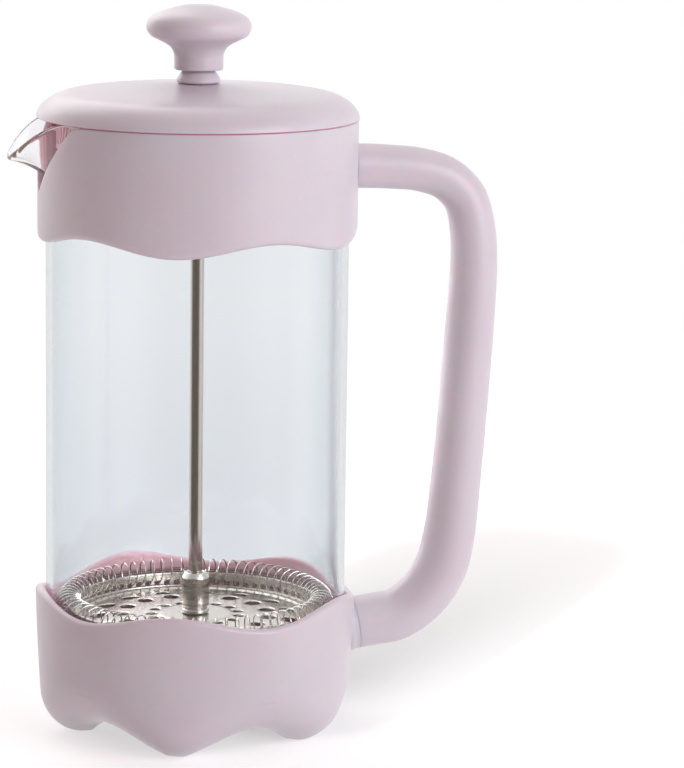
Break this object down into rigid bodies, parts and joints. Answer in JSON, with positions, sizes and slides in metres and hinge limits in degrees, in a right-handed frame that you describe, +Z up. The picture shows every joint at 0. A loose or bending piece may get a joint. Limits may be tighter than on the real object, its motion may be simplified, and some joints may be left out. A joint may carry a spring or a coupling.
{
  "type": "piston coffee press",
  "caption": "Piston coffee press: glass beaker with a pouring lip in a plastic frame with feet and a loop handle, domed lid, knob, rod and spring-edged filter.",
  "frame": {"origin": "on the ground under the middle of the press from lip to handle; the beaker's axis stands 19.1 mm towards -X", "axes": "+Z up along the beaker's axis, +X from the pouring lip towards the handle, +Y to the left of someone who looks along +X"},
  "size_m": [0.1578, 0.1026, 0.2331],
  "materials": {
    "moulded_plastic": "satin",
    "clear_glass": "polished",
    "bright_steel": "polished",
    "sheet_steel": "satin",
    "brass_insert": "turned",
    "zinc_screw": "zinc plated"
  },
  "bodies": {
    "frame": {"base_cup": "moulded_plastic", "upper_collar": "moulded_plastic", "handle": "moulded_plastic", "handle_top_screw": "zinc_screw", "handle_bottom_screw": "zinc_screw", "handle_top_insert": "brass_insert", "handle_bottom_insert": "brass_insert"},
    "beaker": {"glass_beaker": "clear_glass"},
    "lid_guide": {"guide_bush": "moulded_plastic"},
    "lid": {"lid_cover": "moulded_plastic", "lid_strainer": "moulded_plastic"},
    "plunger": {"knob": "moulded_plastic", "knob_insert": "brass_insert", "plunger_rod": "bright_steel", "filter_hub": "bright_steel", "spiral_plate": "sheet_steel", "coil_spring": "bright_steel", "mesh_screen": "sheet_steel", "cross_plate": "sheet_steel", "clamp_stud": "bright_steel"}
  },
  "joints": [
    {"name": "beaker_lift", "type": "slide", "parent": "frame", "child": "beaker", "axis": [0, 0, 1], "range_m": [0, 0.18]},
    {"name": "lid_lift", "type": "slide", "parent": "beaker", "child": "lid_guide", "axis": [0, 0, 1], "range_m": [0, 0.17]},
    {"name": "lid_turn", "type": "hinge", "parent": "lid_guide", "child": "lid", "pos_m": [-0.0191, 0, 0.2], "axis": [0, 0, 1], "continuous": true},
    {"name": "plunger_slide", "type": "slide", "parent": "lid_guide", "child": "plunger", "axis": [0, 0, 1], "range_m": [0, 0.139]}
  ]
}
